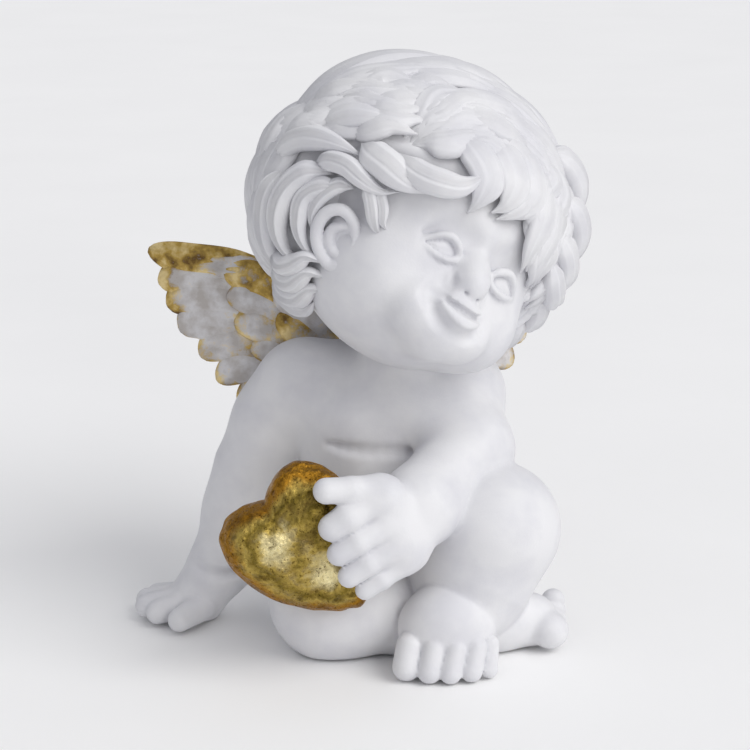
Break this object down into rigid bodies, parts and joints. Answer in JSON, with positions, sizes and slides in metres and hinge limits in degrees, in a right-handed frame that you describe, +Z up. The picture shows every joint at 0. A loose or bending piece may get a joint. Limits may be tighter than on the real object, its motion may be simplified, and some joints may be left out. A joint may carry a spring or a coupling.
{
  "type": "angel figurine",
  "caption": "Seated winged cherub that leans on one hand and holds a gilt heart, for a shelf or table.",
  "frame": {"origin": "middle of the seat pad's underside, on the surface that the figure sits on", "axes": "+Z up; the side that is looked at faces -Y; the cherub's own left is +X"},
  "size_m": [0.0953, 0.0873, 0.12],
  "materials": {
    "white_resin": "cast stone resin with a matt white coat",
    "gilded_resin": "white resin brushed with gold paint on its raised edges",
    "gold_leaf": "crinkled gold leaf over a brown ground",
    "steel": "bright drawn wire",
    "felt": "cream felt"
  },
  "bodies": {
    "root": {"torso": "white_resin", "head": "white_resin", "right_arm": "white_resin", "left_arm": "white_resin", "right_leg": "white_resin", "left_leg": "white_resin", "right_wing": "gilded_resin", "left_wing": "gilded_resin", "heart": "gold_leaf", "neck_dowel": "steel", "limb_dowels": "steel", "wing_pins": "steel", "heart_pin": "steel", "seat_pad": "felt", "limb_pads": "felt"}
  },
  "joints": []
}
